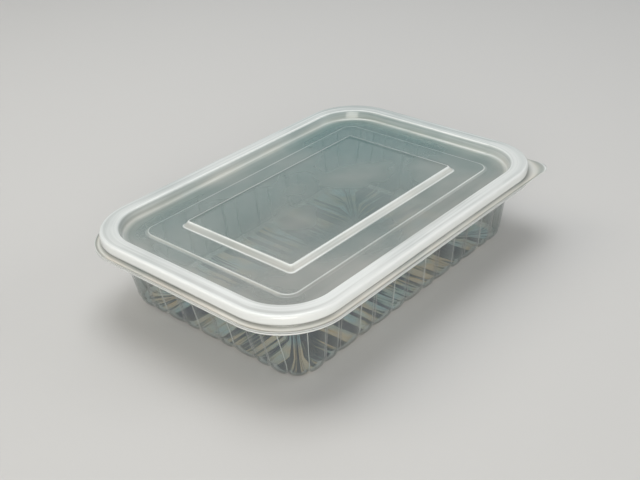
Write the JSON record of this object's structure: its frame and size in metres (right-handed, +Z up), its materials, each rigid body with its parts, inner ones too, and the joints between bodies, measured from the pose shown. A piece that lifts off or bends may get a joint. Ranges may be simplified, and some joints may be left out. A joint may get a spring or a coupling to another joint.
{
  "type": "takeaway meal container",
  "caption": "Empty clear plastic takeaway tray with fluted walls and a shut press-fit lid, which has stepped panels, a rounded rim bead and a square corner to lift it by.",
  "frame": {"origin": "middle of the flat underside of the tray's floor, where it rests", "axes": "+X along the long sides, +Y along the short sides, +Z up; the lid's square lifting corner is at +X, -Y"},
  "size_m": [0.1922, 0.1322, 0.0412],
  "materials": {
    "clear_tray": "clear pressed sheet, glossy, fluted walls",
    "clear_lid": "clear pressed sheet, glossy, slightly milky at the rim"
  },
  "bodies": {
    "root": {"tray": "clear_tray", "lid": "clear_lid"}
  },
  "joints": []
}
